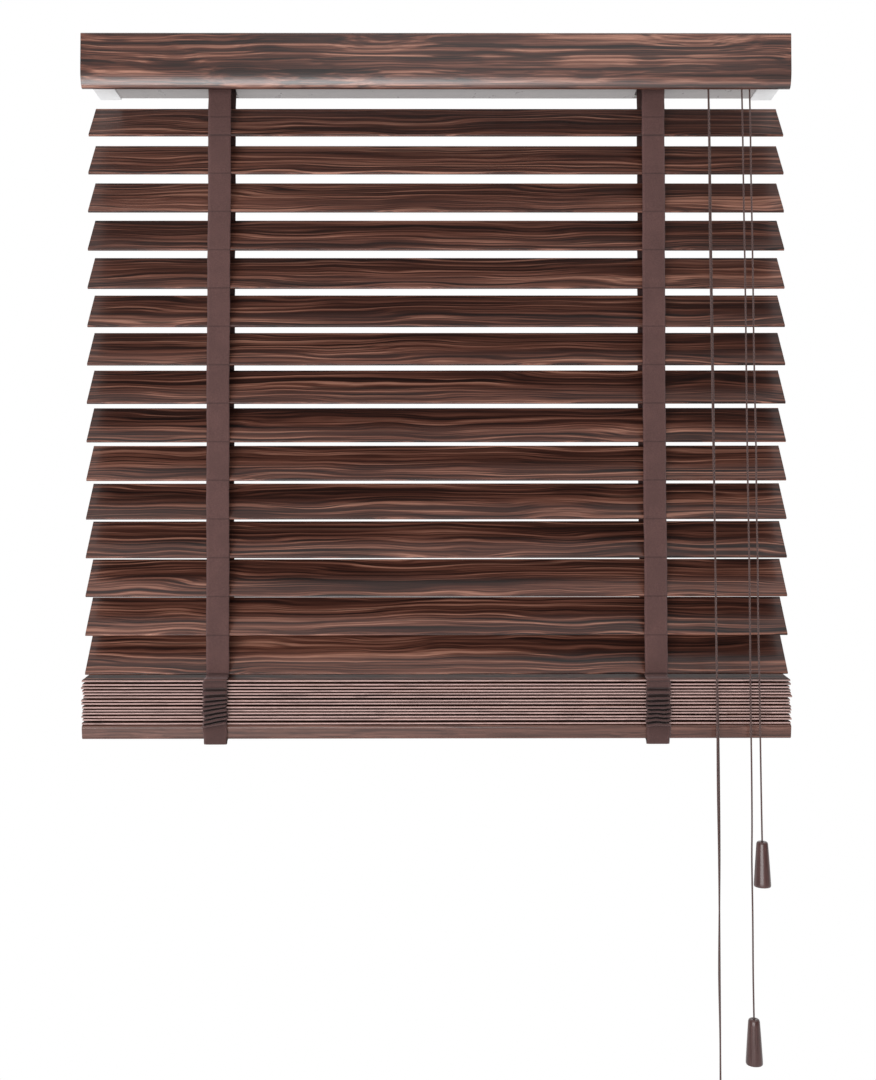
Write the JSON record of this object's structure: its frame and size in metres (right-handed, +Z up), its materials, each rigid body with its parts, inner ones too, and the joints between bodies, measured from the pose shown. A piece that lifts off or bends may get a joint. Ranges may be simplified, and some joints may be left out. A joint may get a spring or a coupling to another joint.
{
  "type": "venetian blind",
  "caption": "Wooden venetian blind with cloth ladder tapes: tilting slats hang from a headrail above a stack of gathered slats on a bottom rail, with lift and tilt cords.",
  "frame": {"origin": "middle of the ceiling screw pattern, on the top faces of the two box brackets", "axes": "+X along the slats, +Y from the room to the wall or window, +Z up"},
  "size_m": [0.77, 0.0826, 1.198],
  "materials": {
    "dark_wood": "satin",
    "white_steel": "semi-gloss",
    "bracket_steel": "semi-gloss",
    "clear_plastic": "glossy",
    "white_plastic": "satin",
    "bright_steel": "satin",
    "brass_wheel": "satin",
    "tape_cloth": "woven",
    "cord_cloth": "braided",
    "dark_plastic": "satin"
  },
  "bodies": {
    "headrail_unit": {"headrail": "white_steel", "box_brackets": "bracket_steel", "bracket_gates": "bracket_steel", "valance": "dark_wood", "valance_clips": "clear_plastic", "ladder_cradles": "white_plastic", "tilter_housing": "white_plastic", "cord_lock_housing": "white_plastic", "headrail_cords": "cord_cloth"},
    "tilt_shaft": {"tilt_rod": "bright_steel", "tilt_drums": "white_plastic", "tilter_gear": "white_plastic"},
    "worm": {"tilter_worm": "white_plastic"},
    "lock_wheel": {"cord_lock_wheel": "brass_wheel"},
    "lock_pin": {"cord_lock_pin": "bright_steel"},
    "slat_01": {"slat_01": "dark_wood"},
    "front_tapes": {"front_tapes": "tape_cloth"},
    "back_tapes": {"back_tapes": "tape_cloth"},
    "rail_carrier": {"lift_cord_16": "cord_cloth"},
    "stack": {"stacked_slats": "dark_wood", "bottom_rail": "dark_wood", "rail_plugs": "dark_plastic", "tape_bunches": "tape_cloth"},
    "carrier_02": {"lift_cord_02": "cord_cloth"},
    "slat_02": {"slat_02": "dark_wood"},
    "carrier_03": {"lift_cord_03": "cord_cloth"},
    "slat_03": {"slat_03": "dark_wood"},
    "carrier_04": {"lift_cord_04": "cord_cloth"},
    "slat_04": {"slat_04": "dark_wood"},
    "carrier_05": {"lift_cord_05": "cord_cloth"},
    "slat_05": {"slat_05": "dark_wood"},
    "carrier_06": {"lift_cord_06": "cord_cloth"},
    "slat_06": {"slat_06": "dark_wood"},
    "carrier_07": {"lift_cord_07": "cord_cloth"},
    "slat_07": {"slat_07": "dark_wood"},
    "carrier_08": {"lift_cord_08": "cord_cloth"},
    "slat_08": {"slat_08": "dark_wood"},
    "carrier_09": {"lift_cord_09": "cord_cloth"},
    "slat_09": {"slat_09": "dark_wood"},
    "carrier_10": {"lift_cord_10": "cord_cloth"},
    "slat_10": {"slat_10": "dark_wood"},
    "carrier_11": {"lift_cord_11": "cord_cloth"},
    "slat_11": {"slat_11": "dark_wood"},
    "carrier_12": {"lift_cord_12": "cord_cloth"},
    "slat_12": {"slat_12": "dark_wood"},
    "carrier_13": {"lift_cord_13": "cord_cloth"},
    "slat_13": {"slat_13": "dark_wood"},
    "carrier_14": {"lift_cord_14": "cord_cloth"},
    "slat_14": {"slat_14": "dark_wood"},
    "carrier_15": {"lift_cord_15": "cord_cloth"},
    "slat_15": {"slat_15": "dark_wood"},
    "pull_cords": {"pull_cord_left": "cord_cloth", "pull_cord_right": "cord_cloth", "pull_tassel_left": "dark_wood", "pull_tassel_right": "dark_wood"},
    "tilt_cord_front": {"tilt_cord_front": "cord_cloth", "tilt_tassel_front": "dark_wood"},
    "tilt_cord_back": {"tilt_cord_back": "cord_cloth", "tilt_tassel_back": "dark_wood"}
  },
  "joints": [
    {"name": "tilt", "type": "hinge", "parent": "headrail_unit", "child": "slat_01", "pos_m": [0, 0, -0.0865], "axis": [1, 0, 0], "range_deg": [-118, 9]},
    {"name": "shaft_turn", "type": "hinge", "parent": "headrail_unit", "child": "tilt_shaft", "pos_m": [0.2985, 0, -0.0245], "axis": [1, 0, 0], "range_deg": [-119, 10]},
    {"name": "worm_turn", "type": "hinge", "parent": "headrail_unit", "child": "worm", "pos_m": [0.2985, 0, -0.0356], "axis": [0, 1, 0], "range_deg": [-1421, 113]},
    {"name": "front_tape_swing", "type": "hinge", "parent": "slat_01", "child": "front_tapes", "pos_m": [0, -0.01348, -0.10575], "axis": [1, 0, 0], "range_deg": [-10, 119]},
    {"name": "back_tape_swing", "type": "hinge", "parent": "slat_01", "child": "back_tapes", "pos_m": [0, 0.01348, -0.06725], "axis": [1, 0, 0], "range_deg": [-10, 119]},
    {"name": "raise", "type": "slide", "parent": "headrail_unit", "child": "rail_carrier", "axis": [0, 0, 1], "range_m": [0, 0.476], "deforming": ["lift_cord_16", "front_tapes", "back_tapes"]},
    {"name": "stack_lean", "type": "hinge", "parent": "rail_carrier", "child": "stack", "pos_m": [0, 0, -0.7415], "axis": [1, 0, 0], "range_deg": [-12.8, 1.9]},
    {"name": "gather_02", "type": "slide", "parent": "headrail_unit", "child": "carrier_02", "axis": [0, 0, 1], "range_m": [-0.0005, 0.0345], "deforming": ["lift_cord_02"]},
    {"name": "tilt_02", "type": "hinge", "parent": "carrier_02", "child": "slat_02", "pos_m": [0, 0, -0.1289], "axis": [1, 0, 0], "range_deg": [-119, 10]},
    {"name": "gather_03", "type": "slide", "parent": "headrail_unit", "child": "carrier_03", "axis": [0, 0, 1], "range_m": [-0.0005, 0.0685], "deforming": ["lift_cord_03"]},
    {"name": "tilt_03", "type": "hinge", "parent": "carrier_03", "child": "slat_03", "pos_m": [0, 0, -0.1713], "axis": [1, 0, 0], "range_deg": [-119, 10]},
    {"name": "gather_04", "type": "slide", "parent": "headrail_unit", "child": "carrier_04", "axis": [0, 0, 1], "range_m": [-0.0005, 0.1025], "deforming": ["lift_cord_04"]},
    {"name": "tilt_04", "type": "hinge", "parent": "carrier_04", "child": "slat_04", "pos_m": [0, 0, -0.2137], "axis": [1, 0, 0], "range_deg": [-119, 10]},
    {"name": "gather_05", "type": "slide", "parent": "headrail_unit", "child": "carrier_05", "axis": [0, 0, 1], "range_m": [-0.0005, 0.1365], "deforming": ["lift_cord_05"]},
    {"name": "tilt_05", "type": "hinge", "parent": "carrier_05", "child": "slat_05", "pos_m": [0, 0, -0.2561], "axis": [1, 0, 0], "range_deg": [-119, 10]},
    {"name": "gather_06", "type": "slide", "parent": "headrail_unit", "child": "carrier_06", "axis": [0, 0, 1], "range_m": [-0.0005, 0.1705], "deforming": ["lift_cord_06"]},
    {"name": "tilt_06", "type": "hinge", "parent": "carrier_06", "child": "slat_06", "pos_m": [0, 0, -0.2985], "axis": [1, 0, 0], "range_deg": [-119, 10]},
    {"name": "gather_07", "type": "slide", "parent": "headrail_unit", "child": "carrier_07", "axis": [0, 0, 1], "range_m": [-0.0005, 0.2045], "deforming": ["lift_cord_07"]},
    {"name": "tilt_07", "type": "hinge", "parent": "carrier_07", "child": "slat_07", "pos_m": [0, 0, -0.3409], "axis": [1, 0, 0], "range_deg": [-119, 10]},
    {"name": "gather_08", "type": "slide", "parent": "headrail_unit", "child": "carrier_08", "axis": [0, 0, 1], "range_m": [-0.0005, 0.2385], "deforming": ["lift_cord_08"]},
    {"name": "tilt_08", "type": "hinge", "parent": "carrier_08", "child": "slat_08", "pos_m": [0, 0, -0.3833], "axis": [1, 0, 0], "range_deg": [-119, 10]},
    {"name": "gather_09", "type": "slide", "parent": "headrail_unit", "child": "carrier_09", "axis": [0, 0, 1], "range_m": [-0.0005, 0.2725], "deforming": ["lift_cord_09"]},
    {"name": "tilt_09", "type": "hinge", "parent": "carrier_09", "child": "slat_09", "pos_m": [0, 0, -0.4257], "axis": [1, 0, 0], "range_deg": [-119, 10]},
    {"name": "gather_10", "type": "slide", "parent": "headrail_unit", "child": "carrier_10", "axis": [0, 0, 1], "range_m": [-0.0005, 0.3065], "deforming": ["lift_cord_10"]},
    {"name": "tilt_10", "type": "hinge", "parent": "carrier_10", "child": "slat_10", "pos_m": [0, 0, -0.4681], "axis": [1, 0, 0], "range_deg": [-119, 10]},
    {"name": "gather_11", "type": "slide", "parent": "headrail_unit", "child": "carrier_11", "axis": [0, 0, 1], "range_m": [-0.0005, 0.3405], "deforming": ["lift_cord_11"]},
    {"name": "tilt_11", "type": "hinge", "parent": "carrier_11", "child": "slat_11", "pos_m": [0, 0, -0.5105], "axis": [1, 0, 0], "range_deg": [-119, 10]},
    {"name": "gather_12", "type": "slide", "parent": "headrail_unit", "child": "carrier_12", "axis": [0, 0, 1], "range_m": [-0.0005, 0.3745], "deforming": ["lift_cord_12"]},
    {"name": "tilt_12", "type": "hinge", "parent": "carrier_12", "child": "slat_12", "pos_m": [0, 0, -0.5529], "axis": [1, 0, 0], "range_deg": [-119, 10]},
    {"name": "gather_13", "type": "slide", "parent": "headrail_unit", "child": "carrier_13", "axis": [0, 0, 1], "range_m": [-0.0005, 0.4085], "deforming": ["lift_cord_13"]},
    {"name": "tilt_13", "type": "hinge", "parent": "carrier_13", "child": "slat_13", "pos_m": [0, 0, -0.5953], "axis": [1, 0, 0], "range_deg": [-119, 10]},
    {"name": "gather_14", "type": "slide", "parent": "headrail_unit", "child": "carrier_14", "axis": [0, 0, 1], "range_m": [-0.0005, 0.4425], "deforming": ["lift_cord_14"]},
    {"name": "tilt_14", "type": "hinge", "parent": "carrier_14", "child": "slat_14", "pos_m": [0, 0, -0.6377], "axis": [1, 0, 0], "range_deg": [-119, 10]},
    {"name": "gather_15", "type": "slide", "parent": "headrail_unit", "child": "carrier_15", "axis": [0, 0, 1], "range_m": [-0.0005, 0.4765], "deforming": ["lift_cord_15"]},
    {"name": "tilt_15", "type": "hinge", "parent": "carrier_15", "child": "slat_15", "pos_m": [0, 0, -0.6801], "axis": [1, 0, 0], "range_deg": [-119, 10]},
    {"name": "pull_drop", "type": "slide", "parent": "headrail_unit", "child": "pull_cords", "axis": [0, 0, 1], "range_m": [-0.477, 0.001], "deforming": ["pull_cord_left", "pull_cord_right"]},
    {"name": "tilt_cord_front_run", "type": "slide", "parent": "headrail_unit", "child": "tilt_cord_front", "axis": [0, 0, 1], "range_m": [-0.0104, 0.1246], "deforming": ["tilt_cord_front"]},
    {"name": "tilt_cord_back_run", "type": "slide", "parent": "headrail_unit", "child": "tilt_cord_back", "axis": [0, 0, 1], "range_m": [-0.1246, 0.0104], "deforming": ["tilt_cord_back"]},
    {"name": "wheel_turn", "type": "hinge", "parent": "headrail_unit", "child": "lock_wheel", "pos_m": [0.3395, -0.02, -0.034], "axis": [1, 0, 0], "range_deg": [-10, 5464.6]},
    {"name": "lock_pin_slide", "type": "slide", "parent": "headrail_unit", "child": "lock_pin", "axis": [0, 0.5, 0.866], "range_m": [0, 0.004]}
  ],
  "couplings": [
    {"joint": "shaft_turn", "follows": "tilt", "ratio": 1},
    {"joint": "worm_turn", "follows": "tilt", "ratio": 12},
    {"joint": "front_tape_swing", "follows": "tilt", "ratio": -1},
    {"joint": "back_tape_swing", "follows": "tilt", "ratio": -1},
    {"joint": "stack_lean", "follows": "tilt", "ratio": 0.1},
    {"joint": "gather_02", "follows": "raise", "ratio": 0.071429},
    {"joint": "tilt_02", "follows": "tilt", "ratio": 1},
    {"joint": "gather_03", "follows": "raise", "ratio": 0.14286},
    {"joint": "tilt_03", "follows": "tilt", "ratio": 1},
    {"joint": "gather_04", "follows": "raise", "ratio": 0.21429},
    {"joint": "tilt_04", "follows": "tilt", "ratio": 1},
    {"joint": "gather_05", "follows": "raise", "ratio": 0.28571},
    {"joint": "tilt_05", "follows": "tilt", "ratio": 1},
    {"joint": "gather_06", "follows": "raise", "ratio": 0.35714},
    {"joint": "tilt_06", "follows": "tilt", "ratio": 1},
    {"joint": "gather_07", "follows": "raise", "ratio": 0.42857},
    {"joint": "tilt_07", "follows": "tilt", "ratio": 1},
    {"joint": "gather_08", "follows": "raise", "ratio": 0.5},
    {"joint": "tilt_08", "follows": "tilt", "ratio": 1},
    {"joint": "gather_09", "follows": "raise", "ratio": 0.57143},
    {"joint": "tilt_09", "follows": "tilt", "ratio": 1},
    {"joint": "gather_10", "follows": "raise", "ratio": 0.64286},
    {"joint": "tilt_10", "follows": "tilt", "ratio": 1},
    {"joint": "gather_11", "follows": "raise", "ratio": 0.71429},
    {"joint": "tilt_11", "follows": "tilt", "ratio": 1},
    {"joint": "gather_12", "follows": "raise", "ratio": 0.78571},
    {"joint": "tilt_12", "follows": "tilt", "ratio": 1},
    {"joint": "gather_13", "follows": "raise", "ratio": 0.85714},
    {"joint": "tilt_13", "follows": "tilt", "ratio": 1},
    {"joint": "gather_14", "follows": "raise", "ratio": 0.92857},
    {"joint": "tilt_14", "follows": "tilt", "ratio": 1},
    {"joint": "gather_15", "follows": "raise", "ratio": 1},
    {"joint": "tilt_15", "follows": "tilt", "ratio": 1},
    {"joint": "pull_drop", "follows": "raise", "ratio": -1},
    {"joint": "tilt_cord_front_run", "follows": "tilt", "m_per_rad": -0.06},
    {"joint": "tilt_cord_back_run", "follows": "tilt", "m_per_rad": 0.06},
    {"joint": "wheel_turn", "follows": "raise", "rad_per_m": 200}
  ]
}
